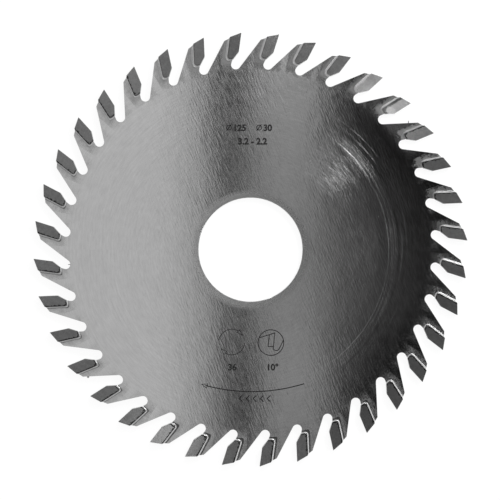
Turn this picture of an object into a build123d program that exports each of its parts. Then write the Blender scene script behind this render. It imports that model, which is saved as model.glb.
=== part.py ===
from build123d import *
from math import cos, radians, sin, tan
import os

# Grooving saw blade: a flat steel plate with a carbide tip brazed into a seat on every tooth.
# The bore's axis is Z, the plate's mid-plane is Z = 0, and seen from above the blade cuts clockwise.
# Lengths are in millimetres and angles in degrees.

# Whole blade
cutting_diameter = 125.0
tooth_count = 36
first_tooth_angle = 2.43
kerf = 3.2

# Steel plate
plate_thickness = 2.2
bore_diameter = 30.0
bore_chamfer = 0.15
tension_ring_radius = 41.3
tension_ring_width = 3.0
tension_ring_depth = 0.02

# Each tooth is drawn in its own frame: Y runs outward through the cutting point, X the way it cuts.
# Carbide tip
hook_angle = 10.0
top_clearance_angle = 18.0
side_clearance_inward = 0.75
side_clearance_backward = 1.75
rake_length = 5.4
tip_thickness = 3.1
tip_height = 7.45
tip_heel_radius = 0.85

# Tooth back, and the shoulder behind the tip's seat
back_angle = 60.25
shoulder_slope = 24.0
shoulder_drop = 0.4
shoulder_length = 1.64
shoulder_radius = 0.4

# Gullet in front of each tip
gullet_depth = 10.45
gullet_radius = 1.37
gullet_wall_angle = 70.0

# Braze between a tip and its seat, with a bead on each side and a small crown on the shoulder
braze_gap = 0.1
bead_width = 0.6
bead_height = 0.15
crown_drop = 0.12
crown_reach = 0.35

# What follows from the sizes above
cutting_radius = cutting_diameter / 2
pitch_angle = 360 / tooth_count
next_back_angle = back_angle - pitch_angle
tip_floor = cutting_radius - tip_height
seat_floor = tip_floor - braze_gap
half_plate = plate_thickness / 2


def heading(angle):
    """Unit vector that points at an angle from +X in the blade's plane."""
    return Vector(cos(radians(angle)), sin(radians(angle)))


def reach(start, height, angle):
    """Point where the line from start at an angle comes to a height along Y."""
    return start + heading(angle) * ((height - start.Y) / sin(radians(angle)))


# Corners of the tip
rake_heading = 270 - hook_angle
behind_tip = 180 - hook_angle
cutting_point = Vector(0, cutting_radius)
top_length = tip_thickness / cos(radians(hook_angle + top_clearance_angle))
tip_back_top = cutting_point + heading(180 + top_clearance_angle) * top_length
tip_heel = reach(tip_back_top, tip_floor, rake_heading)
rake_foot = cutting_point + heading(rake_heading) * rake_length
tip_toe = reach(rake_foot, tip_floor, 180 + next_back_angle)

# Corners of the seat, one braze gap outside the tip, with a bevel that clears the tip's round heel
seat_top = tip_back_top + heading(behind_tip) * braze_gap + heading(rake_heading) * shoulder_drop
seat_heel = reach(seat_top, seat_floor, rake_heading)
heel_turn = radians(90 + hook_angle)
seat_bevel = (tip_heel_radius + braze_gap) * (tan(heel_turn / 2) - tan(heel_turn / 4))
seat_bevel_top = seat_heel - heading(rake_heading) * seat_bevel
seat_bevel_foot = seat_heel + heading(0) * seat_bevel
shoulder_corner = seat_top + heading(180 + shoulder_slope) * shoulder_length

# The gullet's root is an arc that touches the straight back of the next tooth ahead
next_shoulder_corner = shoulder_corner.rotate(Axis.Z, -pitch_angle)
root_offset = heading(next_back_angle + 90) * gullet_radius
root_height = cutting_radius - gullet_depth + gullet_radius
root_centre = reach(next_shoulder_corner + root_offset, root_height, next_back_angle)
next_back_foot = root_centre - root_offset
back_foot = next_back_foot.rotate(Axis.Z, pitch_angle)
gullet_wall_foot = root_centre + heading(gullet_wall_angle + 90) * gullet_radius
seat_toe = reach(gullet_wall_foot, seat_floor, gullet_wall_angle)

# Corners of the braze crown
crown_top = tip_back_top + heading(rake_heading) * crown_drop
crown_toe = seat_top + heading(180 + shoulder_slope) * crown_reach


# Steel plate. A shallow ring is rolled into both faces to tension it, outside the clamped hub.
with BuildPart() as saw_plate:
    with BuildLine() as tooth_edge:
        FilletPolyline(back_foot, shoulder_corner, seat_top, radius=shoulder_radius)
        Polyline(seat_top, seat_bevel_top, seat_bevel_foot, seat_toe, gullet_wall_foot)
        JernArc(
            start=gullet_wall_foot,
            tangent=heading(gullet_wall_angle + 180),
            radius=gullet_radius,
            arc_size=180 - (gullet_wall_angle - next_back_angle),
        )
    with BuildSketch(Plane.XY.offset(-half_plate)):
        with BuildLine():
            with PolarLocations(0, tooth_count, start_angle=first_tooth_angle - 90):
                add(tooth_edge.line)
        make_face()
        Circle(bore_diameter / 2, mode=Mode.SUBTRACT)
    extrude(amount=plate_thickness)
    bore_rims = saw_plate.edges().filter_by(GeomType.CIRCLE).group_by(SortBy.RADIUS)[-1]
    chamfer(bore_rims, length=bore_chamfer)
    for ring_floor in (half_plate - tension_ring_depth, -half_plate):
        with BuildSketch(Plane.XY.offset(ring_floor)):
            Circle(tension_ring_radius + tension_ring_width / 2)
            Circle(tension_ring_radius - tension_ring_width / 2, mode=Mode.SUBTRACT)
        extrude(amount=tension_ring_depth, mode=Mode.SUBTRACT)
saw_plate.part.label = "saw_plate"


# One carbide tip. Its sides run in from the full kerf at the cutting edge, backward and inward.
with BuildPart() as carbide_tip:
    with BuildSketch(Plane.XY.offset(-kerf / 2)):
        with BuildLine():
            FilletPolyline(tip_back_top, tip_heel, tip_toe, radius=tip_heel_radius)
            Polyline(tip_toe, rake_foot, cutting_point, tip_back_top)
        make_face()
    extrude(amount=kerf)
    backward_slope = tan(radians(side_clearance_backward))
    inward_slope = tan(radians(side_clearance_inward))
    for side in (1, -1):
        side_plane = Plane(
            origin=cutting_point + Vector(0, 0, side * kerf / 2),
            z_dir=Vector(-backward_slope, -inward_slope, side),
        )
        split(bisect_by=side_plane, keep=Keep.BOTTOM)


# One braze joint: a bead swept round the tip on each face of the plate, and the film in the seat
with BuildPart() as braze_joint:
    with BuildLine() as bead_path:
        FilletPolyline(tip_back_top, tip_heel, tip_toe, radius=tip_heel_radius)
    with BuildSketch(Plane(origin=tip_back_top, x_dir=heading(behind_tip), z_dir=heading(rake_heading))):
        with BuildLine():
            bead_crest = (0, half_plate + bead_height)
            Polyline((0, half_plate), bead_crest, (bead_width, half_plate), close=True)
        make_face()
        mirror(about=Plane.XZ)
    sweep(path=bead_path.line)
    crown_slope = crown_toe - crown_top
    split(bisect_by=Plane(origin=crown_top, z_dir=crown_slope.rotate(Axis.Z, -90)), keep=Keep.BOTTOM)
    with BuildSketch(Plane.XY.offset(-half_plate)):
        with BuildLine():
            FilletPolyline(crown_top, tip_heel, tip_toe, radius=tip_heel_radius)
            Polyline(tip_toe, seat_toe, seat_bevel_foot, seat_bevel_top, seat_top, crown_toe, crown_top)
        make_face()
    extrude(amount=plate_thickness)
    # The joint ends flush with the gullet's wall
    split(bisect_by=Plane(origin=seat_toe, z_dir=heading(gullet_wall_angle - 90)), keep=Keep.BOTTOM)


# All the braze joints
with BuildPart() as braze_seams:
    with PolarLocations(0, tooth_count, start_angle=first_tooth_angle - 90):
        add(braze_joint.part)
braze_seams.part.label = "braze_seams"


os.makedirs("parts", exist_ok=True)
export_step(saw_plate.part, "parts/saw_plate.step")
export_step(braze_seams.part, "parts/braze_seams.step")

tooth_places = PolarLocations(0, tooth_count, start_angle=first_tooth_angle - 90)
for number, place in enumerate(tooth_places, start=1):
    with BuildPart() as placed_tip:
        with Locations(place):
            add(carbide_tip.part)
    placed_tip.part.label = f"carbide_tip_{number:02d}"
    export_step(placed_tip.part, f"parts/{placed_tip.part.label}.step")
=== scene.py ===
from math import cos, pi, radians, sin

import bmesh
import bpy
from mathutils import Matrix, Vector


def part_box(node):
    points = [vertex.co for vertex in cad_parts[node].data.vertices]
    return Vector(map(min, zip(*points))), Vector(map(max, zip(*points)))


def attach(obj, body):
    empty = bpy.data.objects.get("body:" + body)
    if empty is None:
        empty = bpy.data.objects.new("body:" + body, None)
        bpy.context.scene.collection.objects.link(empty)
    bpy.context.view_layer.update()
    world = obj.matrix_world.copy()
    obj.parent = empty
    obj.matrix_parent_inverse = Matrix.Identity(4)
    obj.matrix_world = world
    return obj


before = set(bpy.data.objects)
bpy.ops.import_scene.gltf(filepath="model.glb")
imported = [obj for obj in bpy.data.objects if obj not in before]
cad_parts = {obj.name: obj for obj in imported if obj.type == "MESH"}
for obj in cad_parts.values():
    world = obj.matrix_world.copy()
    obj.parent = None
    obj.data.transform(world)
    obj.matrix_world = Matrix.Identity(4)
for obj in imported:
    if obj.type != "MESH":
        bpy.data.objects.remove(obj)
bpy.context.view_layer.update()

# Looks of the grooving saw blade. It lies flat, its bore's axis is Z, and it cuts clockwise seen from above.
# Lengths are in metres, written as a number of millimetres times MM, but materials reckon in millimetres.
# Angles are in radians where no word says degrees.
MM = 0.001

# The photograph's frame: how much of the blade one pixel spans, and the pixel that the bore's axis falls on
PHOTO_SIDE = 500
PIXEL = 0.28803 * MM
AXIS_PIXEL = (250.5, 249.65)

# The blade, as the frame has it
FACE_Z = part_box("saw_plate")[1].z
LOWER_FACE_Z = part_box("saw_plate")[0].z
FLOOR_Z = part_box("carbide_tip_01")[0].z
TIP_NODES = [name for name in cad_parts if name.startswith("carbide_tip_")]


def at_pixel(x, y, z=FACE_Z):
    """Point of the blade that shows at a pixel of the photograph, at a height z."""
    return Vector(((x - AXIS_PIXEL[0]) * PIXEL, (AXIS_PIXEL[1] - y) * PIXEL, z))


# Node graphs
class Graph:
    """A node tree with short calls that add a node, feed its sockets and return what it gives."""

    def __init__(self, tree):
        self.nodes = tree.nodes
        self.links = tree.links
        self.nodes.clear()

    def feed(self, socket, value):
        if isinstance(value, bpy.types.NodeSocket):
            self.links.new(value, socket)
        else:
            socket.default_value = value

    def add(self, kind, inputs=None, **settings):
        node = self.nodes.new(kind)
        for name, value in settings.items():
            setattr(node, name, value)
        for name, value in (inputs or {}).items():
            self.feed(node.inputs[name], value)
        return node

    def maths(self, operation, *values):
        node = self.add("ShaderNodeMath", operation=operation)
        for socket, value in zip(node.inputs, values):
            self.feed(socket, value)
        return node.outputs[0]

    def total(self, *values):
        result = values[0]
        for value in values[1:]:
            result = self.maths("ADD", result, value)
        return result

    def product(self, *values):
        result = values[0]
        for value in values[1:]:
            result = self.maths("MULTIPLY", result, value)
        return result

    def minus(self, value, less):
        return self.maths("SUBTRACT", value, less)

    def larger(self, one, other):
        return self.maths("MAXIMUM", one, other)

    def scaled(self, value, factor, offset):
        """Value times a factor, plus an offset."""
        return self.maths("MULTIPLY_ADD", value, factor, offset)

    def spread(self, value, low, high, to_low=0.0, to_high=1.0):
        """Value taken smoothly from the range low to high to the range to_low to to_high."""
        node = self.add(
            "ShaderNodeMapRange",
            {"Value": value, "From Min": low, "From Max": high, "To Min": to_low, "To Max": to_high},
            interpolation_type="SMOOTHSTEP",
        )
        return node.outputs["Result"]

    def vector(self, x, y, z):
        return self.add("ShaderNodeCombineXYZ", {"X": x, "Y": y, "Z": z}).outputs[0]

    def blend(self, share, one, other):
        """Vector that goes from one to the other as the share goes from 0 to 1."""
        node = self.add("ShaderNodeMix", {"Factor": share}, data_type="VECTOR")
        # The vectors' sockets have the same names as the numbers', so they are reached by their places
        self.feed(node.inputs[4], one)
        self.feed(node.inputs[5], other)
        return node.outputs[1]

    def noise(self, place, scale, detail=2.0, roughness=0.5):
        inputs = {"Vector": place, "Scale": scale, "Detail": detail, "Roughness": roughness}
        return self.add("ShaderNodeTexNoise", inputs).outputs["Fac"]

    def grey(self, value):
        """Colour of one grey level."""
        return self.add("ShaderNodeCombineColor", {"Red": value, "Green": value, "Blue": value}).outputs[0]


class MaterialGraph(Graph):
    """The graph of a new material. It knows the point on the object, as x, y and z in millimetres."""

    def __init__(self, name):
        self.material = bpy.data.materials.new(name)
        self.material.use_nodes = True
        super().__init__(self.material.node_tree)
        self.output = self.add("ShaderNodeOutputMaterial")
        point = self.add("ShaderNodeTexCoord").outputs["Object"]
        split = self.add("ShaderNodeSeparateXYZ", {"Vector": point})
        self.x, self.y, self.z = (self.product(split.outputs[axis], 1 / MM) for axis in "XYZ")

    def surface(self, shader):
        """Ends the graph in a shader, and gives the material."""
        self.feed(self.output.inputs["Surface"], shader.outputs[0])
        return self.material

    def principled(self, inputs):
        """Ends the graph in the one shader that the export reads."""
        return self.surface(self.add("ShaderNodeBsdfPrincipled", inputs))

    def bumped(self, height):
        """Normal of a surface raised by a height in millimetres."""
        bump = self.add("ShaderNodeBump", {"Height": height, "Distance": MM, "Strength": 1.0})
        return bump.outputs["Normal"]

    def mottle(self, scale, detail=3.0, roughness=0.6):
        """Noise that is alike in all directions, of so many lumps a millimetre."""
        return self.noise(self.vector(self.x, self.y, self.z), scale, detail, roughness)

    def along(self, angle):
        """How far the point lies from the bore's axis in one direction."""
        return self.total(self.product(self.x, cos(angle)), self.product(self.y, sin(angle)))

    def from_axis(self):
        """Distance from the bore's axis."""
        return self.maths("SQRT", self.total(self.product(self.x, self.x), self.product(self.y, self.y)))

    def azimuth(self):
        """Angle of the point round the bore's axis."""
        return self.maths("ARCTAN2", self.y, self.x)

    def toward(self, azimuth):
        """How far round toward an azimuth the point lies about the bore's axis: 1 there, and -1 opposite."""
        return self.maths("DIVIDE", self.along(azimuth), self.from_axis())

    def sector(self, sector, outside=0.0, inside=1.0):
        """Value that goes smoothly from what it is outside a sector of the blade to what it is inside."""
        azimuth, starts, full = sector
        return self.spread(self.toward(azimuth), starts, full, outside, inside)

    def radial(self, turn):
        """Direction away from the bore's axis, turned by an angle."""
        outward = self.vector(self.along(-turn), self.along(pi / 2 - turn), 0.0)
        return self.add("ShaderNodeVectorMath", {0: outward}, operation="NORMALIZE").outputs[0]

    def straight_streaks(self, angle, length, width, detail=2.0):
        """Noise drawn out into streaks at an angle, so long and so wide in millimetres."""
        along = self.product(self.along(angle), 1 / length)
        across = self.product(self.along(angle + pi / 2), 1 / width)
        return self.noise(self.vector(along, across, self.z), 1.0, detail)

    def round_streaks(self, length, width, detail=2.0, roughness=0.5):
        """Noise drawn out into streaks round the bore's axis, so long and so wide in millimetres."""
        round_it = self.product(self.azimuth(), STREAK_RADIUS / length)
        outward = self.product(self.from_axis(), 1 / width)
        return self.noise(self.vector(round_it, outward, self.z), 1.0, detail, roughness)


# Radius at which round streaks have the length they are given
STREAK_RADIUS = 40.0

# Sectors of the blade that look different from the rest. Each is the azimuth in its middle, and the
# cosines of the angles away from it at which the sector starts and at which it is full.
GLINT_AZIMUTH = radians(47)
STEEL_GLINT = (GLINT_AZIMUTH, 0.80, 0.95)
BRAZE_GLINT = (GLINT_AZIMUTH, 0.70, 0.95)
RING_GLINT = (GLINT_AZIMUTH, 0.95, 0.99)
LINED_SIDE = (0.0, 0.50, 0.76)
THIN_SATIN = (radians(-50), 0.4, 0.8)
# The next sector ends the satin nearer the tips and holds painted shade on the braze
DULL_AND_SHADED_TEETH = (radians(24), 0.90, 0.97)
FILMED_BACKS = (radians(41), 0.970, 0.995)
# The next two sectors hold a painted highlight on the steel close to the tips
UPPER_FILM_HIGHLIGHT = (radians(70), 0.74, 0.90)
LOWER_FILM_HIGHLIGHT = (radians(-12), 0.88, 0.96)
# The next three sectors hold painted shade of the crease by the tips, and a painted glint on some tip walls
TOP_TIPS_LESS_SHADED = (radians(84), 0.76, 0.86)
HEAVY_CREASE_SHADE = (radians(44.5), 0.992, 0.998)
GLINTING_WALLS = (radians(57), 0.985, 0.993)
STAINED_SIDE = (radians(240), -0.2, 0.45)
WIDE_STAIN = (radians(274), 0.72, 0.97)

# The teeth, in each tooth's own frame: Y runs outward through the cutting point, X the way it cuts
TOOTH_PITCH = radians(10.0)
FIRST_TOOTH = radians(2.43)
# A tooth's cell runs from the middle of the gullet ahead of its tip to the middle of the one behind it
CELL_SHIFT = radians(-1.5)
HOOK = radians(10.0)
TIP_BACK_TOP = (-3.34, 61.42)
TIP_FLOOR = 55.05
TIP_TOE_AHEAD = -1.6
TIP_HEEL_ROUNDING = 1.2


def tooth_frame(graph):
    """The point's place in the frame of its own tooth, ahead and outward, and the number of that tooth."""
    turns = graph.maths("DIVIDE", graph.total(graph.azimuth(), CELL_SHIFT - FIRST_TOOTH), TOOTH_PITCH)
    number = graph.maths("ROUND", turns)
    turn = graph.scaled(number, TOOTH_PITCH, FIRST_TOOTH)
    sine = graph.maths("SINE", turn)
    cosine = graph.maths("COSINE", turn)
    ahead = graph.minus(graph.product(graph.x, sine), graph.product(graph.y, cosine))
    outward = graph.total(graph.product(graph.x, cosine), graph.product(graph.y, sine))
    return ahead, outward, number


def tip_wall_depth(graph, ahead, outward):
    """Depth inside the tip's outline behind its back wall and floor. It is below zero outside."""
    from_back = graph.total(
        graph.product(graph.minus(ahead, TIP_BACK_TOP[0]), cos(HOOK)),
        graph.product(graph.minus(outward, TIP_BACK_TOP[1]), -sin(HOOK)),
    )
    from_floor = graph.minus(outward, TIP_FLOOR)
    return graph.maths("SMOOTH_MIN", from_back, from_floor, TIP_HEEL_ROUNDING)


def from_tip(graph):
    """How far a point of the steel or the braze lies from its tooth's tip."""
    ahead, outward, _ = tooth_frame(graph)
    depth = tip_wall_depth(graph, ahead, outward)
    return graph.larger(graph.product(depth, -1), graph.minus(ahead, TIP_TOE_AHEAD))


# The edge of the braze: how far from the tip it wavers, and where the stain along it starts and ends
EDGE_WAVER = 0.3
STAIN_INNER = (0.36, 0.46)
STAIN_OUTER = (0.50, 0.68)
STAIN_WIDENED = 0.34
STAIN_FAINT = 0.2


def unevenly(graph, away):
    """A distance from the tip that wavers a little from place to place."""
    wavering = graph.mottle(scale=0.9, detail=2.0, roughness=0.5)
    return graph.total(away, graph.scaled(wavering, EDGE_WAVER, -EDGE_WAVER / 2))


def braze_stain(graph, away):
    """Thin dark line of flux along the edge of the braze, from 0 to 1. It is faint on one side."""
    outer = graph.minus(away, graph.sector(WIDE_STAIN, 0.0, STAIN_WIDENED))
    line = graph.product(graph.spread(away, *STAIN_INNER), graph.spread(outer, *STAIN_OUTER, 1.0, 0.0))
    return graph.product(line, graph.sector(STAINED_SIDE, STAIN_FAINT, 1.0))


# The rim round the bore, and the lines that turning and rolling left, by their distance from the bore's axis
RIM_FROM = 15.1
RIM_TO = 17.7
TURNED_FROM = 24.0
TURNED_FULL = 31.0
TURNED_TO = 36.0
TURNED_END = 37.5
RING_INNER = 39.8
RING_OUTER = 42.8
RING_FADE = 0.9
GLINT_STREAKS_END = (40.5, 42.0)
LONE_LINES = (40.75, 43.7, 45.2)
# Half the width of the single lines, and the share of it over which they are full
INNER_EDGE = 0.20
OUTER_EDGE = 0.45
LONE_LINE = 0.36
LINE_CORE = 0.3
# The ranges of the noises that streaks, gaps and breaks come from
TURNED_NOISE = (0.36, 0.68)
RING_NOISE = (0.45, 0.66)
GAP_NOISE = (0.45, 0.62)
BREAK_NOISE = (0.35, 0.62)
# How much the lines roughen the steel, how much of them goes on beyond the hub, and what is left in a break
TURNED_ROUGHENS = (0.02, 0.26)
RING_ROUGHENS = (0.005, 0.24)
LONE_ROUGHENS = 0.13
INNER_ROUGHENS = 0.15
GO_ON = 0.12
GO_ON_IN_GLINT = 0.38
LEFT_IN_BREAK = 0.35
# How much brighter or darker the lines are. The streaks' and lone lines' are shares of what they roughen.
INNER_BRIGHTENS = 0.70
RING_BRIGHTENS = 1.2
LONE_BRIGHTENS = 1.6
OUTER_DARKENS = 0.20
LEFT_OF_LINES = 0.06


def line_at(graph, radius, middle, half_width):
    """A thin line round the bore's axis, from 0 to 1."""
    off = graph.maths("ABSOLUTE", graph.minus(radius, middle))
    return graph.spread(off, half_width * LINE_CORE, half_width, 1.0, 0.0)


def turned_streaks(graph, radius):
    """Fine streaks turned round the hub. Few of them go on beyond it, and more do toward the glint."""
    streaks = graph.round_streaks(length=5.0, width=0.30, roughness=0.6)
    in_glint = graph.spread(radius, *GLINT_STREAKS_END, GO_ON_IN_GLINT, 0.0)
    beyond = graph.total(graph.product(graph.sector(RING_GLINT), in_glint), GO_ON)
    reach = graph.product(
        graph.spread(radius, TURNED_FROM, TURNED_FULL),
        graph.spread(radius, TURNED_TO, TURNED_END, 1.0, beyond),
    )
    return graph.product(graph.spread(streaks, *TURNED_NOISE, *TURNED_ROUGHENS), reach)


def ring_streaks(graph, radius):
    """Long streaks that rolling left in the tension ring."""
    streaks = graph.round_streaks(length=24.0, width=0.25, roughness=0.7)
    in_ring = graph.product(
        graph.spread(radius, RING_INNER - RING_FADE, RING_INNER),
        graph.spread(radius, RING_OUTER - RING_FADE, RING_OUTER, 1.0, 0.0),
    )
    return graph.product(graph.spread(streaks, *RING_NOISE, *RING_ROUGHENS), in_ring)


def lone_lines(graph, radius):
    """Single faint lines with gaps, in the ring and outside it."""
    gaps = graph.spread(graph.round_streaks(length=14.0, width=0.8, detail=1.0), *GAP_NOISE)
    lines = graph.total(*(line_at(graph, radius, middle, LONE_LINE) for middle in LONE_LINES))
    return graph.product(lines, gaps, LONE_ROUGHENS)


def turned_marks(graph):
    """Lines round the bore's axis: how much they roughen the steel, and how much brighter they are."""
    radius = graph.from_axis()
    turned = turned_streaks(graph, radius)
    ring = ring_streaks(graph, radius)
    lone = lone_lines(graph, radius)
    broken = graph.spread(graph.round_streaks(length=11.0, width=3.0), *BREAK_NOISE, LEFT_IN_BREAK, 1.0)
    inner = graph.product(line_at(graph, radius, RING_INNER, INNER_EDGE), broken)
    outer = graph.product(line_at(graph, radius, RING_OUTER, OUTER_EDGE), broken)
    roughened = graph.total(turned, ring, graph.product(inner, INNER_ROUGHENS), lone)
    clean = graph.total(
        graph.product(inner, INNER_BRIGHTENS),
        graph.product(ring, RING_BRIGHTENS),
        graph.product(lone, LONE_BRIGHTENS),
    )
    brighter = graph.minus(clean, graph.product(outer, OUTER_DARKENS))
    shown = graph.sector(LINED_SIDE, LEFT_OF_LINES, 1.0)
    return graph.product(roughened, shown), graph.product(brighter, shown)


# Steel: the height of each layer of its relief
FINE_RELIEF = 0.024
SLANTED_RELIEF = 0.022
CLOUD_RELIEF = 0.035
WAVE_RELIEF = 0.08
TURNED_RELIEF = 0.011
# The angle of its grinding lines, and how far off it the fine and the slanted ones lean
LINES_ANGLE = radians(110)
FINE_LEAN = radians(-1)
SLANTED_LEAN = radians(6)
# How far its sheen is turned in satin, in the glint, more and more across the glint, and in round marks
SATIN_TURN = radians(-65)
GLINT_TURN = radians(9)
GLINT_SWEEP = -0.8
MARKS_TURN = radians(6)
# How strong satin and marks are where the sheen is fully turned
SATIN_FULL_TURN = 0.35
MARKS_FULL_TURN = (0.01, 0.06)
# Satin: how far from the tip it starts to fade and ends, how much nearer it ends on dull teeth, how ragged
# that end is, how much of it mottling leaves where it is thin, and where and how strongly the backs of a few
# teeth have it too
SATIN_FROM = -0.6
SATIN_TO = 4.0
SATIN_CUT = -0.9
SATIN_RAGGED = (4.0, 1.6)
SATIN_NOISE = (0.34, 0.66)
SATIN_KEPT = (0.38, 0.85)
BACKS_FROM = 50.0
BACKS_TO = 55.0
BACKS_SATIN = 0.26
# Where the rim is less rubbed, and how much
RUB_NOISE = (0.3, 0.6)
LEAST_RUBBED = 0.45
# How far from the tip the painted highlight on the steel goes, and how much it brightens the steel
FILM_HIGHLIGHT_END = (0.9, 1.7)
FILM_HIGHLIGHT_LEVEL = 0.2
FILM_HIGHLIGHT_IN_GLINT = 0.4
# The steel's grey and what changes it
STEEL_GREY = 0.32
TURNED_GREY = 0.12
BLOTCH_GREY = 0.055
FINE_GREY = -0.02
SATIN_DARKENS = -0.12
STAIN_DARKENS_STEEL = 0.28
# The roughness of the clean steel, which follows its slanted lines, and of its parts
SLANTED_NOISE = (0.35, 0.65)
SMOOTH_ROUGHNESS = (0.122, 0.092)
GLINT_SMOOTHER = 0.017
MARK_ROUGHNESS = 0.34
SATIN_ROUGHER = 0.32
SATIN_ROUGHER_IN_GLINT = 0.10
RIM_ROUGHER = 0.36


def satin_zone(graph, away):
    """The satin that brazing leaves on the steel round each tip, from 0 to 1."""
    thin = graph.sector(THIN_SATIN)
    ragged = graph.minus(graph.mottle(scale=0.8), 0.5)
    patchy = graph.product(ragged, graph.spread(thin, 0.0, 1.0, *SATIN_RAGGED))
    end = graph.scaled(graph.sector(DULL_AND_SHADED_TEETH), SATIN_CUT, SATIN_TO)
    satin = graph.spread(graph.total(away, patchy), SATIN_FROM, end, 1.0, 0.0)
    mottled = graph.spread(graph.mottle(scale=1.3, roughness=0.65), *SATIN_NOISE, *SATIN_KEPT)
    kept = graph.total(1.0, graph.product(thin, graph.minus(mottled, 1.0)))
    on_teeth = graph.spread(graph.from_axis(), BACKS_FROM, BACKS_TO, 0.0, BACKS_SATIN)
    on_backs = graph.product(on_teeth, graph.sector(FILMED_BACKS))
    return graph.larger(graph.product(satin, kept), on_backs)


def rubbed_rim(graph):
    """The matt rim that flanges and arbors rub round the bore, from 0 to 1."""
    rubbed = graph.spread(graph.mottle(scale=0.8), *RUB_NOISE, LEAST_RUBBED, 1.0)
    return graph.product(graph.spread(graph.from_axis(), RIM_FROM, RIM_TO, 1.0, 0.0), rubbed)


def painted_film_highlight(graph, away, glinting):
    """Painted highlight that brightens the steel close to the tips, in two sectors, most in the glint."""
    where = graph.larger(graph.sector(UPPER_FILM_HIGHLIGHT), graph.sector(LOWER_FILM_HIGHLIGHT))
    highlighted_near_tips = graph.product(graph.spread(away, *FILM_HIGHLIGHT_END, 1.0, 0.0), where)
    return graph.product(highlighted_near_tips, graph.scaled(glinting, FILM_HIGHLIGHT_IN_GLINT, FILM_HIGHLIGHT_LEVEL))


def steel_sheen(graph, satin, rim, marks, glinting):
    """Direction of the steel's sheen: across its grinding lines, turned in satin, and outward in marks."""
    across_lines = LINES_ANGLE - pi / 2
    matt = graph.larger(satin, rim)
    angle = graph.spread(matt, 0.0, SATIN_FULL_TURN, across_lines, across_lines + SATIN_TURN)
    sweep = graph.product(graph.toward(GLINT_AZIMUTH + pi / 2), GLINT_SWEEP)
    in_satin = graph.spread(satin, 0.0, SATIN_FULL_TURN)
    angle = graph.total(angle, graph.product(graph.total(sweep, GLINT_TURN), glinting, in_satin))
    straight = graph.vector(graph.maths("COSINE", angle), graph.maths("SINE", angle), 0.0)
    return graph.blend(graph.spread(marks, *MARKS_FULL_TURN), straight, graph.radial(MARKS_TURN))


def plate_steel():
    """Ground tool steel: short straight grinding lines, fainter lines round the bore, and soft waves."""
    graph = MaterialGraph("plate_steel_ground")
    fine = graph.straight_streaks(LINES_ANGLE + FINE_LEAN, length=2.2, width=0.40, detail=1.0)
    slanted = graph.straight_streaks(LINES_ANGLE + SLANTED_LEAN, length=3.5, width=0.55)
    clouds = graph.straight_streaks(LINES_ANGLE, length=4.5, width=3.0)
    waves = graph.mottle(scale=0.11, detail=2.0, roughness=0.5)
    turned = graph.round_streaks(length=3.2, width=0.5, detail=3.0, roughness=0.6)
    blotches = graph.mottle(scale=0.35)
    height = graph.total(
        graph.product(fine, FINE_RELIEF),
        graph.product(slanted, SLANTED_RELIEF),
        graph.product(clouds, CLOUD_RELIEF),
        graph.product(waves, WAVE_RELIEF),
        graph.product(turned, TURNED_RELIEF),
    )

    away = unevenly(graph, from_tip(graph))
    glinting = graph.sector(STEEL_GLINT)
    marks, brighter = turned_marks(graph)
    satin = satin_zone(graph, away)
    rim = rubbed_rim(graph)
    uneven = graph.total(
        graph.product(turned, TURNED_GREY),
        graph.product(blotches, BLOTCH_GREY),
        graph.product(fine, FINE_GREY),
        STEEL_GREY,
    )
    # The tone holds a painted highlight close to the tips, in two sectors and most in the glint
    tone = graph.product(
        uneven,
        graph.scaled(satin, SATIN_DARKENS, 1.0),
        graph.total(brighter, 1.0),
        graph.total(painted_film_highlight(graph, away, glinting), 1.0),
    )
    tone = graph.minus(tone, graph.product(braze_stain(graph, away), STAIN_DARKENS_STEEL))

    smooth = graph.spread(slanted, *SLANTED_NOISE, *SMOOTH_ROUGHNESS)
    smooth = graph.minus(smooth, graph.product(glinting, GLINT_SMOOTHER))
    roughness = graph.total(
        smooth,
        graph.product(satin, graph.scaled(glinting, SATIN_ROUGHER_IN_GLINT, SATIN_ROUGHER)),
        graph.product(marks, graph.minus(MARK_ROUGHNESS, smooth)),
        graph.product(rim, RIM_ROUGHER),
    )
    return graph.principled({
        "Base Color": graph.grey(tone),
        "Roughness": roughness,
        "Metallic": 1.0,
        "Anisotropic": 1.0,
        "Tangent": steel_sheen(graph, satin, rim, marks, glinting),
        "Normal": graph.bumped(height),
    })


# The range of a noise that is alike in all directions
NOISE = (0.3, 0.7)
# Carbide: the relief and the roughness of its grain, and the angle of its sheen
GRAIN_RELIEF = 0.006
GRAIN_ROUGHNESS = (0.40, 0.36)
TIP_SHEEN_TURN = radians(-10.5)
# Its grey by grain and by patches, and what each tip's own shade adds, with the seed of those shades
GRAIN_GREY = (0.12, 0.15)
PATCH_GREY = (0.0, 0.035)
TIP_SHADES = 0.045
TIP_SHADE_SEED = 2329.0
# How far into the tip the painted shade of the crease goes, how much it wavers, how much farther it goes in
# its heavy sector, and how strongly it darkens
CREASE_SHADE_END = (0.16, 0.34)
CREASE_SHADE_WAVER = 1.5
CREASE_SHADE_DEEPER_NOISE = (0.35, 0.65)
CREASE_SHADE_DEEPER = (-0.15, -0.65)
CREASE_SHADE_ON_TOP_TIPS = 0.35
CREASE_SHADE_DARKENS = -0.86
# How far into the tip a painted glint along the wall goes over the painted crease shade, and how bright it
# is
WALL_GLINT_END = (0.28, 0.42)
WALL_GLINT_GREY = 0.07


def tip_crease_shade(graph, depth, grain):
    """Painted shade of the crease along the tip's back wall and floor, from 0 to 1."""
    wavering = graph.scaled(graph.mottle(scale=1.4), CREASE_SHADE_WAVER, -CREASE_SHADE_WAVER / 2)
    deeper = graph.spread(grain, *CREASE_SHADE_DEEPER_NOISE, *CREASE_SHADE_DEEPER)
    deeper = graph.product(graph.sector(HEAVY_CREASE_SHADE), deeper)
    shade_in_crease = graph.spread(graph.total(depth, wavering, deeper), *CREASE_SHADE_END, 1.0, 0.0)
    return graph.product(shade_in_crease, graph.sector(TOP_TIPS_LESS_SHADED, 1.0, CREASE_SHADE_ON_TOP_TIPS))


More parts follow.
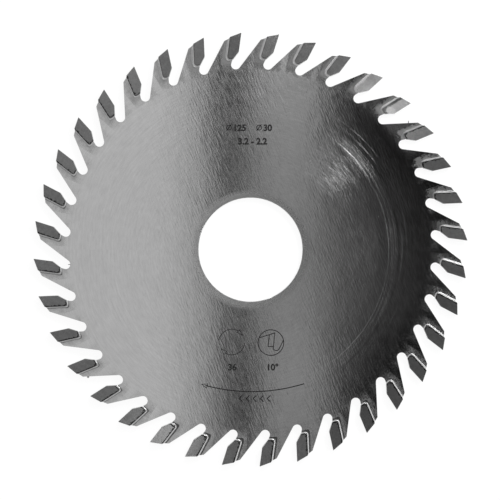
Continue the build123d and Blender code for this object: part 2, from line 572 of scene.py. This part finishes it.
def tip_carbide():
    """Ground carbide: matt grey with a fine grain, painted shade of the crease along the tip's back wall and
    floor, and a painted glint along the walls of a few tips.
    """
    graph = MaterialGraph("tip_carbide_ground")
    ahead, outward, number = tooth_frame(graph)
    depth = tip_wall_depth(graph, ahead, outward)
    grain = graph.mottle(scale=3.4)
    seeded = graph.total(number, TIP_SHADE_SEED)
    shade = graph.add("ShaderNodeTexWhiteNoise", {"W": seeded}, noise_dimensions="1D").outputs["Value"]
    face = graph.total(
        graph.spread(grain, *NOISE, *GRAIN_GREY),
        graph.spread(graph.mottle(scale=1.1, roughness=0.7), *NOISE, *PATCH_GREY),
        graph.product(shade, TIP_SHADES),
    )
    # Painted shade in the crease along the back wall and floor, lighter on the tips at the top
    crease_shaded_face = graph.product(face, graph.scaled(tip_crease_shade(graph, depth, grain), CREASE_SHADE_DARKENS, 1.0))
    # Painted glint along the walls of a few tips near the glint
    painted_wall_glint = graph.spread(depth, *WALL_GLINT_END, 1.0, 0.0)
    tone = graph.total(crease_shaded_face, graph.product(painted_wall_glint, graph.sector(GLINTING_WALLS), WALL_GLINT_GREY))
    return graph.principled({
        "Base Color": graph.grey(tone),
        "Roughness": graph.spread(grain, *NOISE, *GRAIN_ROUGHNESS),
        "Metallic": 1.0,
        "Anisotropic": 1.0,
        "Tangent": graph.radial(TIP_SHEEN_TURN),
        "Normal": graph.bumped(graph.product(grain, GRAIN_RELIEF)),
    })


# Braze, by its distance from the tip: where the painted shade of the crease ends, where the bright bead
# starts and ends, and where its surface falls
CREASE_SHADE_END_ON_BRAZE = (0.04, 0.18)
BEAD_FROM = (0.08, 0.18)
BEAD_END = (0.34, 0.50)
BRAZE_FALL = (0.15, 0.45)
# Heights of its relief, and its roughness out of the bead and in it
LUMP_RELIEF = 0.06
FALL_RELIEF = 0.11
BRAZE_ROUGHNESS = (0.38, 0.30)
# Its grey in the bead and out of it, how much a painted glint brightens it out of the bead, and how strongly
# painted shade on a few teeth, painted shade in the crease and the stain darken it. The crease shade is
# strong except on the tips at the top.
BEAD_GREY = 0.56
THIN_GREY = 0.38
THIN_PAINTED_GLINT = 0.26
BRAZE_PAINTED_SHADE = -0.40
CREASE_SHADE_ON_BRAZE = (0.8, 0.1)
STAIN_DARKENS_BRAZE = 0.22


def silver_braze():
    """Silver solder: bright where it wets the tip, duller as it thins out over the steel, a little lumpy.
    Its grey holds a painted glint in one sector, painted shade on a few teeth and painted shade in the
    crease by the tip.
    """
    graph = MaterialGraph("silver_braze_run")
    near = from_tip(graph)
    bead = graph.product(graph.spread(near, *BEAD_FROM), graph.spread(near, *BEAD_END, 1.0, 0.0))
    # Out of the bead the grey holds a painted glint in the sector of the glint
    thin = graph.scaled(graph.sector(BRAZE_GLINT), THIN_PAINTED_GLINT, THIN_GREY)
    # Painted shade in the crease between braze and tip, strong except on the tips at the top
    braze_crease_shade = graph.product(graph.spread(near, *CREASE_SHADE_END_ON_BRAZE, 1.0, 0.0), graph.sector(TOP_TIPS_LESS_SHADED, *CREASE_SHADE_ON_BRAZE))
    # The tone is darkened by painted shade on a few teeth and by the painted crease shade
    tone = graph.product(
        graph.spread(bead, 0.0, 1.0, thin, BEAD_GREY),
        graph.scaled(graph.sector(DULL_AND_SHADED_TEETH), BRAZE_PAINTED_SHADE, 1.0),
        graph.minus(1.0, braze_crease_shade),
    )
    stain = graph.product(braze_stain(graph, unevenly(graph, near)), STAIN_DARKENS_BRAZE)
    lumps = graph.product(graph.mottle(scale=1.3, roughness=0.55), LUMP_RELIEF)
    falling = graph.product(graph.spread(near, *BRAZE_FALL, 1.0, 0.0), FALL_RELIEF)
    return graph.principled({
        "Base Color": graph.grey(graph.minus(tone, stain)),
        "Roughness": graph.spread(bead, 0.0, 1.0, *BRAZE_ROUGHNESS),
        "Metallic": 1.0,
        "Normal": graph.bumped(graph.total(lumps, falling)),
    })


OXIDE_GREY = (0.006, 0.016)
OXIDE_ROUGHNESS = (0.55, 0.7)
OXIDE_RELIEF = 0.02


def laser_black():
    """The dark oxide that a marking laser leaves on steel."""
    graph = MaterialGraph("laser_oxide_black")
    speckle = graph.mottle(scale=3.0)
    return graph.principled({
        "Base Color": graph.grey(graph.spread(speckle, *NOISE, *OXIDE_GREY)),
        "Roughness": graph.spread(speckle, *NOISE, *OXIDE_ROUGHNESS),
        "Specular IOR Level": 0.1,
        "Normal": graph.bumped(graph.product(speckle, OXIDE_RELIEF)),
    })


def dress(names, material):
    """Gives the frame's nodes their material."""
    for name in names:
        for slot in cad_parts[name].material_slots:
            slot.material = material


steel = plate_steel()
dress(["saw_plate"], steel)
dress(["braze_seams"], silver_braze())
dress(TIP_NODES, tip_carbide())


# Marks on the upper face. Each is a closed layer of its own, rooted a little under the face.
MARK_RISE = 0.01 * MM
MARK_ROOT = 0.02 * MM
HEAD_LINE = 0.6 * PIXEL
FAINT_LINE = 0.65 * PIXEL
THIN_LINE = 0.85 * PIXEL
BOLD_LINE = 1.0 * PIXEL
# A bar is wider at a corner, by one over the cosine of half the turn there, or at most by one over this
SHARPEST_CORNER = 0.3
WELD_DISTANCE = 0.0001 * MM


def mark_piece(name, mesh, material):
    """A mark that moves with the blade."""
    mesh.materials.append(material)
    piece = bpy.data.objects.new(name, mesh)
    bpy.context.scene.collection.objects.link(piece)
    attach(piece, "root")
    return piece


def on_circle(centre, radius, degrees):
    """Point of a circle given in pixels, so many degrees anticlockwise from the right."""
    turn = radians(degrees)
    return (centre[0] + radius * cos(turn), centre[1] - radius * sin(turn))


def arc(centre, radius, start, end, steps=24):
    """Points on an arc given in pixels, from one angle to another in degrees."""
    return [on_circle(centre, radius, start + (end - start) * step / steps) for step in range(steps + 1)]


def circle(centre, radius, corners):
    """Corners of a whole circle given in pixels."""
    return [on_circle(centre, radius, 360 * corner / corners) for corner in range(corners)]


def add_ribbon(shape, pixels, width, closed=False):
    """Adds a closed flat bar of one width along points given in pixels."""
    points = [at_pixel(*pixel).to_2d() for pixel in pixels]
    count = len(points)
    rows = []
    for place, point in enumerate(points):
        before = points[place - 1] if closed or place else point
        after = points[(place + 1) % count] if closed or place < count - 1 else point
        into = (point - before).normalized() if point != before else (after - point).normalized()
        onward = (after - point).normalized() if after != point else into
        along = (into + onward).normalized()
        side = Vector((-along.y, along.x))
        reach = width / 2 / max(SHARPEST_CORNER, side.dot(Vector((-into.y, into.x))))
        rows.append([
            shape.verts.new((*(point + side * reach * hand), FACE_Z + height))
            for hand, height in ((1, MARK_RISE), (-1, MARK_RISE), (-1, -MARK_ROOT), (1, -MARK_ROOT))
        ])
    pairs = list(zip(rows, rows[1:]))
    if closed:
        pairs.append((rows[-1], rows[0]))
    else:
        shape.faces.new(rows[0][::-1])
        shape.faces.new(rows[-1])
    for one, other in pairs:
        for corner in range(4):
            following = (corner + 1) % 4
            shape.faces.new((one[corner], one[following], other[following], other[corner]))


def drawn_mark(name, strokes, material):
    """A mark made of strokes, each of which is its points in pixels, its width, and whether it is closed."""
    shape = bmesh.new()
    for pixels, width, closed in strokes:
        add_ribbon(shape, pixels, width, closed)
    bmesh.ops.recalc_face_normals(shape, faces=shape.faces)
    mesh = bpy.data.meshes.new(name)
    shape.to_mesh(mesh)
    shape.free()
    return mark_piece(name, mesh, material)


# Height of a number in the photograph, and in the font as a share of its size
LETTER_HEIGHT_PIXELS = 6.4
FONT_CAP_HEIGHT = 0.73
SIZE_TEXT_PIXEL = (252.5, 127.6)
# The sizes that the blade carries: each its numbers, the pixel at their middle, and their boldness in pixels
DIAMETER_NUMBERS = ("125       30", SIZE_TEXT_PIXEL, 0.36)
OTHER_NUMBERS = {
    "kerf_numbers": ("3.2 - 2.2", (252.5, 141.1), 0.38),
    "tooth_count_number": ("36", (232.3, 367.0), 0.26),
    "hook_angle_number": ("10\u00b0", (272.5, 367.0), 0.34),
}


def number_mark(name, text, middle, boldness, material):
    """Plain numbers, centred on a pixel."""
    font_curve = bpy.data.curves.new(name, "FONT")
    font_curve.body = text
    font_curve.align_x = "CENTER"
    font_curve.size = LETTER_HEIGHT_PIXELS * PIXEL / FONT_CAP_HEIGHT
    font_curve.offset = boldness * PIXEL
    font_curve.extrude = (MARK_RISE + MARK_ROOT) / 2
    draft = bpy.data.objects.new(name, font_curve)
    mesh = bpy.data.meshes.new_from_object(draft)
    bpy.data.objects.remove(draft)
    bpy.data.curves.remove(font_curve)
    place = at_pixel(*middle, FACE_Z + (MARK_RISE - MARK_ROOT) / 2)
    place.y -= LETTER_HEIGHT_PIXELS * PIXEL / 2
    mesh.transform(Matrix.Translation(place))
    shape = bmesh.new()
    shape.from_mesh(mesh)
    bmesh.ops.remove_doubles(shape, verts=shape.verts, dist=WELD_DISTANCE)
    bmesh.ops.recalc_face_normals(shape, faces=shape.faces)
    shape.to_mesh(mesh)
    shape.free()
    mesh.materials.clear()
    return mark_piece(name, mesh, material)


def arrow_head(tip, heading, length, width):
    """Stroke of a filled arrow head whose point is at a pixel, with a heading in degrees from the right."""
    turn = radians(heading)
    ahead = Vector((cos(turn), -sin(turn)))
    aside = Vector((sin(turn), cos(turn)))
    point = Vector(tip)
    back_left = point - ahead * length + aside * width / 2
    back_right = point - ahead * length - aside * width / 2
    return (([*point], [*back_left], [*back_right]), HEAD_LINE, True)


# The struck circles before the two diameters, in pixels: how far right of the numbers' middle each is, their
# radius, and half the width and height of their strike
DIAMETER_SIGN_PLACES = (-23.5, 6.5)
DIAMETER_SIGN_RADIUS = 2.4
DIAMETER_STRIKE = (2.3, 3.1)


def diameter_signs(material):
    """A struck circle before each of the two diameters."""
    strokes = []
    strike_x, strike_y = DIAMETER_STRIKE
    for place in DIAMETER_SIGN_PLACES:
        x, y = SIZE_TEXT_PIXEL[0] + place, SIZE_TEXT_PIXEL[1]
        strokes.append((circle((x, y), DIAMETER_SIGN_RADIUS, 24), THIN_LINE, True))
        strokes.append(([(x - strike_x, y + strike_y), (x + strike_x, y - strike_y)], THIN_LINE, False))
    return drawn_mark("diameter_signs", strokes, material)


# The two round signs. In the first, two arrows' points lie at angles in degrees. Their heads lean, and their
# lines start and end, so far round from there. A head is so long and so wide in pixels.
SIGN_RADIUS_PIXELS = 12.8
TURN_SIGN_PIXEL = (231.8, 342.0)
TURN_SIGN_POINTS = (32, 213)
TURN_SIGN_LEAN = -77
TURN_SIGN_LINE = (140, 27)
TURN_SIGN_HEAD = (6.0, 4.0)
TOOTH_SIGN_PIXEL = (270.9, 342.6)
# In the second, the gullet's root is an arc: its radius as a share of the sign's, and its ends in degrees
SIGN_ROOT_RADIUS = 0.26
SIGN_ROOT_ENDS = (190, 330)


def turn_sign(material):
    """Two arrows that chase each other round a circle."""
    strokes = []
    start, end = TURN_SIGN_LINE
    for angle in TURN_SIGN_POINTS:
        line = arc(TURN_SIGN_PIXEL, SIGN_RADIUS_PIXELS, angle + start, angle + end)
        point = on_circle(TURN_SIGN_PIXEL, SIGN_RADIUS_PIXELS, angle)
        strokes.append((line, FAINT_LINE, False))
        strokes.append(arrow_head(point, angle + TURN_SIGN_LEAN, *TURN_SIGN_HEAD))
    return drawn_mark("turning_sign", strokes, material)


def in_tooth_sign(across, down):
    """Pixel in the tooth sign, so many of its radii to the right and down from its middle."""
    x, y = TOOTH_SIGN_PIXEL
    return (x + SIGN_RADIUS_PIXELS * across, y + SIGN_RADIUS_PIXELS * down)


def tooth_sign(material):
    """A circle with the outline of a tooth, its tip and its gullet."""
    rim = circle(TOOTH_SIGN_PIXEL, SIGN_RADIUS_PIXELS, 48)
    back_end = in_tooth_sign(-0.12, -0.62)
    tip_foot = in_tooth_sign(0.20, 0.30)
    back = [in_tooth_sign(-0.93, -0.37), back_end]
    tip = [back_end, in_tooth_sign(0.30, -0.76), tip_foot, in_tooth_sign(-0.22, 0.30)]
    root_radius = SIGN_RADIUS_PIXELS * SIGN_ROOT_RADIUS
    root = arc(in_tooth_sign(0.42, 0.36), root_radius, *SIGN_ROOT_ENDS, steps=10)
    gullet = [tip_foot, *root[1:], in_tooth_sign(0.98, -0.20)]
    strokes = [
        (rim, THIN_LINE, True),
        (back, THIN_LINE, False),
        (tip, THIN_LINE, True),
        (gullet, THIN_LINE, False),
    ]
    return drawn_mark("tooth_sign", strokes, material)


# The long arrow: its lowest pixel, the radius of its arc, how far round it goes in degrees from there to its
# point and to its tail, how much of that its head covers, and the heading, length and width of the head
ROTATION_LOW_PIXEL = (251.8, 391.6)
ROTATION_RADIUS_PIXELS = 177.0
STRAIGHT_DOWN = 270
ROTATION_TO_POINT = 16.4
ROTATION_TO_TAIL = 17.2
ROTATION_UNDER_HEAD = 1.2
ROTATION_HEAD = (163.5, 5.6, 4.4)
# The row of chevrons: its middle pixel, how many are on each side of it, and their step and depth
CHEVRONS_PIXEL = (253.2, 398.6)
CHEVRONS_EACH_SIDE = 2
CHEVRON_STEP = 7
CHEVRON_DEPTH = 3.2


def rotation_arrow(material):
    """A long arrow for the way the blade turns, with a row of chevrons under it."""
    middle = (ROTATION_LOW_PIXEL[0], ROTATION_LOW_PIXEL[1] - ROTATION_RADIUS_PIXELS)
    point_angle = STRAIGHT_DOWN - ROTATION_TO_POINT
    tail_angle = STRAIGHT_DOWN + ROTATION_TO_TAIL
    line = arc(middle, ROTATION_RADIUS_PIXELS, point_angle + ROTATION_UNDER_HEAD, tail_angle, 40)
    point = on_circle(middle, ROTATION_RADIUS_PIXELS, point_angle)
    strokes = [(line, BOLD_LINE, False), arrow_head(point, *ROTATION_HEAD)]
    x, y = CHEVRONS_PIXEL
    half = LETTER_HEIGHT_PIXELS / 2
    for number in range(-CHEVRONS_EACH_SIDE, CHEVRONS_EACH_SIDE + 1):
        bend = x + number * CHEVRON_STEP
        back = bend + CHEVRON_DEPTH
        strokes.append(([(back, y - half), (bend, y), (back, y + half)], BOLD_LINE, False))
    return drawn_mark("rotation_arrow", strokes, material)


# Small wear that stands off the plate: each its middle, its length and width in pixels, the way it points in
# degrees, and the heights above the lower face, as shares of the plate's thickness, between which it stands
WEAR_SPECKS = {
    "tooth_back_burr": ((408.6, 122.2), (3.8, 1.1), 90, (0.55, 0.98)),
    "tooth_edge_lump": ((88.0, 377.0), (2.6, 2.4), 40, (0.4, 0.9)),
    "gullet_root_tick": ((69.6, 264.5), (3.6, 1.0), 0, (0.5, 0.95)),
    "face_speck": ((378.5, 216.6), (1.6, 0.9), 90, (0.98, 1.012)),
}
# How far their surface waves in and out, as a share of their radius, and how fast it does along each axis
SPECK_UNEVENNESS = 0.12
SPECK_WAVES = (5, 3, 4)


def wear_speck(name, middle, size, heading, heights, material):
    """A small uneven pebble of steel that sits half in the plate."""
    low, high = (LOWER_FACE_Z + (FACE_Z - LOWER_FACE_Z) * share for share in heights)
    shape = bmesh.new()
    bmesh.ops.create_icosphere(shape, subdivisions=2, radius=1.0)
    for vert in shape.verts:
        wave = sum(rate * place for rate, place in zip(SPECK_WAVES, vert.co))
        vert.co *= 1 + SPECK_UNEVENNESS * sin(wave)
    length, width = (PIXEL * pixels / 2 for pixels in size)
    scale = Matrix.Diagonal((length, width, (high - low) / 2, 1))
    place = Matrix.Translation(at_pixel(*middle, (low + high) / 2))
    shape.transform(place @ Matrix.Rotation(radians(heading), 4, "Z") @ scale)
    mesh = bpy.data.meshes.new(name)
    shape.to_mesh(mesh)
    shape.free()
    for face in mesh.polygons:
        face.use_smooth = True
    return mark_piece(name, mesh, material)


oxide = laser_black()
number_mark("diameter_numbers", *DIAMETER_NUMBERS, oxide)
diameter_signs(oxide)
for mark, (text, middle, boldness) in OTHER_NUMBERS.items():
    number_mark(mark, text, middle, boldness, oxide)
turn_sign(oxide)
tooth_sign(oxide)
rotation_arrow(oxide)
for speck, (middle, size, heading, heights) in WEAR_SPECKS.items():
    wear_speck(speck, middle, size, heading, heights, steel)


# Stage: a pale floor and background, one graded card over the blade, and three lamps
FLOOR_HALF_SIDE = 3.0
FLOOR_GREY = 0.97
# How much of the floor's light the camera and reflections see as plain white. The rest keeps the shadow.
WHITE_SHARE = 0.92


def make_floor():
    """A matt floor that the camera, metal and glass see as nearly plain white, so that its shadows stay."""
    corners = [
        (FLOOR_HALF_SIDE * right, FLOOR_HALF_SIDE * up, FLOOR_Z)
        for right, up in ((-1, -1), (1, -1), (1, 1), (-1, 1))
    ]
    mesh = bpy.data.meshes.new("floor")
    mesh.from_pydata(corners, [], [(0, 1, 2, 3)])
    floor = bpy.data.objects.new("floor", mesh)
    bpy.context.scene.collection.objects.link(floor)
    graph = MaterialGraph("floor_white")
    matt = graph.add("ShaderNodeBsdfDiffuse", {"Color": (FLOOR_GREY, FLOOR_GREY, FLOOR_GREY, 1)})
    white = graph.add("ShaderNodeEmission", {"Color": (1, 1, 1, 1), "Strength": 1.0})
    path = graph.add("ShaderNodeLightPath").outputs
    seen = graph.larger(path["Is Camera Ray"], path["Is Glossy Ray"])
    seen = graph.larger(seen, path["Is Transmission Ray"])
    share = graph.product(seen, WHITE_SHARE)
    mix = graph.add("ShaderNodeMixShader", {0: share, 1: matt.outputs[0], 2: white.outputs[0]})
    mesh.materials.append(graph.surface(mix))


# Brightness of the sky by how steeply one looks up, from 0 at the horizon to 1 overhead, and the side it is
# brightest on
WORLD_STOPS = [(0.0, 1.0), (0.08, 1.0), (0.2, 0.78), (0.32, 0.65), (0.5, 0.8), (0.8, 1.0)]
WORLD_HORIZON = (0.08, 0.22)
WORLD_SIDE = radians(40)
WORLD_SIDE_EDGES = (-0.7, 0.7)
WORLD_FAR_SIDE = 0.45
WORLD_NEAR_SIDE = 1.85


def set_stops(ramp, stops):
    """Gives a colour ramp straight grey steps, each a place from 0 to 1 and its level."""
    elements = ramp.color_ramp.elements
    elements[0].position, elements[1].position = stops[0][0], stops[-1][0]
    for place, _ in stops[1:-1]:
        elements.new(place)
    for element, (_, level) in zip(elements, stops):
        element.color = (level, level, level, 1)


def make_world():
    """A pale sky, brighter on one side above the horizon."""
    world = bpy.data.worlds.new("studio")
    bpy.context.scene.world = world
    world.use_nodes = True
    graph = Graph(world.node_tree)
    output = graph.add("ShaderNodeOutputWorld")
    direction = graph.add("ShaderNodeTexCoord").outputs["Generated"]
    split = graph.add("ShaderNodeSeparateXYZ", {"Vector": direction}).outputs
    ramp = graph.add("ShaderNodeValToRGB", {"Fac": split["Z"]})
    set_stops(ramp, WORLD_STOPS)
    sideways_x = graph.product(split["X"], cos(WORLD_SIDE))
    sideways_y = graph.product(split["Y"], sin(WORLD_SIDE))
    sideways = graph.total(sideways_x, sideways_y)
    sided = graph.spread(sideways, *WORLD_SIDE_EDGES, WORLD_FAR_SIDE, WORLD_NEAR_SIDE)
    above = graph.spread(split["Z"], *WORLD_HORIZON)
    strength = graph.scaled(graph.minus(sided, 1.0), above, 1.0)
    background = graph.add("ShaderNodeBackground", {"Color": ramp.outputs["Color"], "Strength": strength})
    graph.feed(output.inputs["Surface"], background.outputs[0])


# The camera and the card over the blade
CAMERA_HEIGHT = 0.65
CAMERA_NEAR = 0.01
CAMERA_FAR = 20.0
CARD_HEIGHT = 0.06
CARD_RADIUS = 0.095
CARD_MIDDLE = (0.008, 0.012, 0.0)
# The card's brightness by the place on the blade that mirrors it, in millimetres right of the bore's axis
CARD_STOPS = [
    (-24, 1.0),
    (-18, 0.80),
    (-14, 0.70),
    (-9, 0.38),
    (-6.8, 0.03),
    (-3.5, 0.03),
    (-1.2, 0.36),
    (8, 0.49),
    (17, 0.43),
    (23, 0.25),
    (28, 0.13),
    (35, 0.085),
    (42, 0.04),
    (50, 0.01),
]
# Its pattern leans a little in the upper half. In the lower half only its dark stripe leans, the other way.
LEAN_UP = 0.03
LEAN_DOWN = -0.05
LEAN_DOWN_FROM = (-13.0, -7.0)
LEAN_DOWN_TO = (0.0, 12.0)
# Toward the top and the bottom, from so far off, the dark stripe gets wider, and the dark edge on the right
# gets sharper and nearer
CHANGES_FROM = 18.0
STRIPE_PLACE = -5.1
STRIPE_HALF_WIDTH = (4.0, 9.0)
STRIPE_WIDENS = 0.021
EDGE_PLACE = 24.5
EDGE_STARTS = (8.0, 16.0)
EDGE_SHARPENS = 0.05
PULL_STARTS = (17.0, 27.0)
PULL = 0.27
# The right part also gets brighter toward the top and the bottom
BRIGHTER_UP = 0.0045
BRIGHTER_DOWN = 0.0022
BRIGHTER_FROM = (0.0, 8.0)
BRIGHTER_TO = (18.0, 26.0)


def between(graph, value, start, end):
    """Share that comes in over one range of a value and goes out over another, from 0 to 1."""
    return graph.product(graph.spread(value, *start), graph.spread(value, *end, 1.0, 0.0))


def card_place(graph, across, upper, lower, up):
    """The place in CARD_STOPS that a point of the card shows."""
    distance = graph.maths("ABSOLUTE", up)
    far_off = graph.larger(graph.minus(distance, CHANGES_FROM), 0.0)
    from_edge = graph.minus(across, EDGE_PLACE)
    sharper = graph.product(from_edge, far_off, graph.spread(across, *EDGE_STARTS, 0.0, EDGE_SHARPENS))
    pull = graph.product(far_off, graph.spread(across, *PULL_STARTS, 0.0, PULL))
    from_stripe = graph.minus(across, STRIPE_PLACE)
    by_stripe = graph.spread(graph.maths("ABSOLUTE", from_stripe), *STRIPE_HALF_WIDTH, -STRIPE_WIDENS, 0.0)
    wider = graph.product(from_stripe, far_off, by_stripe)
    on_stripe = between(graph, across, LEAN_DOWN_FROM, LEAN_DOWN_TO)
    lower_lean = graph.product(lower, on_stripe, LEAN_DOWN)
    return graph.total(across, sharper, pull, wider, graph.product(upper, LEAN_UP), lower_lean)


def card_light(name):
    """The card's own light, as a material."""
    graph = MaterialGraph(name)
    mirrored = 1 + CARD_HEIGHT / CAMERA_HEIGHT
    across = graph.product(graph.x, 1 / mirrored)
    up = graph.product(graph.y, 1 / mirrored)
    upper = graph.larger(up, 0.0)
    lower = graph.larger(graph.product(up, -1), 0.0)
    low, high = CARD_STOPS[0][0], CARD_STOPS[-1][0]
    share = graph.maths("DIVIDE", graph.minus(card_place(graph, across, upper, lower, up), low), high - low)
    ramp = graph.add("ShaderNodeValToRGB", {"Fac": share})
    set_stops(ramp, [((place - low) / (high - low), level) for place, level in CARD_STOPS])
    brighter = graph.total(graph.product(upper, BRIGHTER_UP), graph.product(lower, BRIGHTER_DOWN))
    strength = graph.scaled(brighter, between(graph, across, BRIGHTER_FROM, BRIGHTER_TO), 1.0)
    light = graph.add("ShaderNodeEmission", {"Color": ramp.outputs["Color"], "Strength": strength})
    return graph.surface(light)


def make_card():
    """A round card over the blade, bright on the left and black on the right, that only reflections show."""
    bpy.ops.mesh.primitive_circle_add(vertices=96, radius=CARD_RADIUS, fill_type="NGON")
    card = bpy.context.object
    card.name = "graded_card"
    card.location = (0, 0, CARD_HEIGHT)
    card.data.transform(Matrix.Translation(CARD_MIDDLE))
    card.visible_camera = False
    card.visible_diffuse = False
    card.visible_shadow = False
    card.data.materials.append(card_light("graded_card"))


def make_lamp(name, azimuth, elevation, distance, side, radiance):
    """A square soft lamp of a plain radiance that points at the blade's centre, with angles in degrees."""
    data = bpy.data.lights.new(name, "AREA")
    data.shape = "SQUARE"
    data.size = side
    data.energy = radiance * pi * side * side
    lamp = bpy.data.objects.new(name, data)
    bpy.context.scene.collection.objects.link(lamp)
    turn, lift = radians(azimuth), radians(elevation)
    lamp.location = Vector((cos(turn) * cos(lift), sin(turn) * cos(lift), sin(lift))) * distance
    lamp.rotation_mode = "QUATERNION"
    lamp.rotation_quaternion = lamp.location.to_track_quat("Z", "Y")


def make_camera():
    """Straight above, with the photograph's width of frame at the plate's upper face."""
    data = bpy.data.cameras.new("camera")
    camera = bpy.data.objects.new("camera", data)
    bpy.context.scene.collection.objects.link(camera)
    bpy.context.scene.camera = camera
    middle = at_pixel(PHOTO_SIDE / 2, PHOTO_SIDE / 2)
    camera.location = middle + Vector((0, 0, CAMERA_HEIGHT))
    data.lens = data.sensor_width * CAMERA_HEIGHT / (PHOTO_SIDE * PIXEL)
    data.clip_start = CAMERA_NEAR
    data.clip_end = CAMERA_FAR


make_floor()
make_world()
make_card()
make_lamp("upper_right_lamp", azimuth=46, elevation=50, distance=0.27, side=0.05, radiance=48.0)
make_lamp("right_lamp", azimuth=4, elevation=45, distance=0.36, side=0.10, radiance=3.9)
make_lamp("upper_lamp", azimuth=78, elevation=45, distance=0.36, side=0.10, radiance=8.0)
make_camera()
bpy.context.scene.view_settings.view_transform = "Standard"
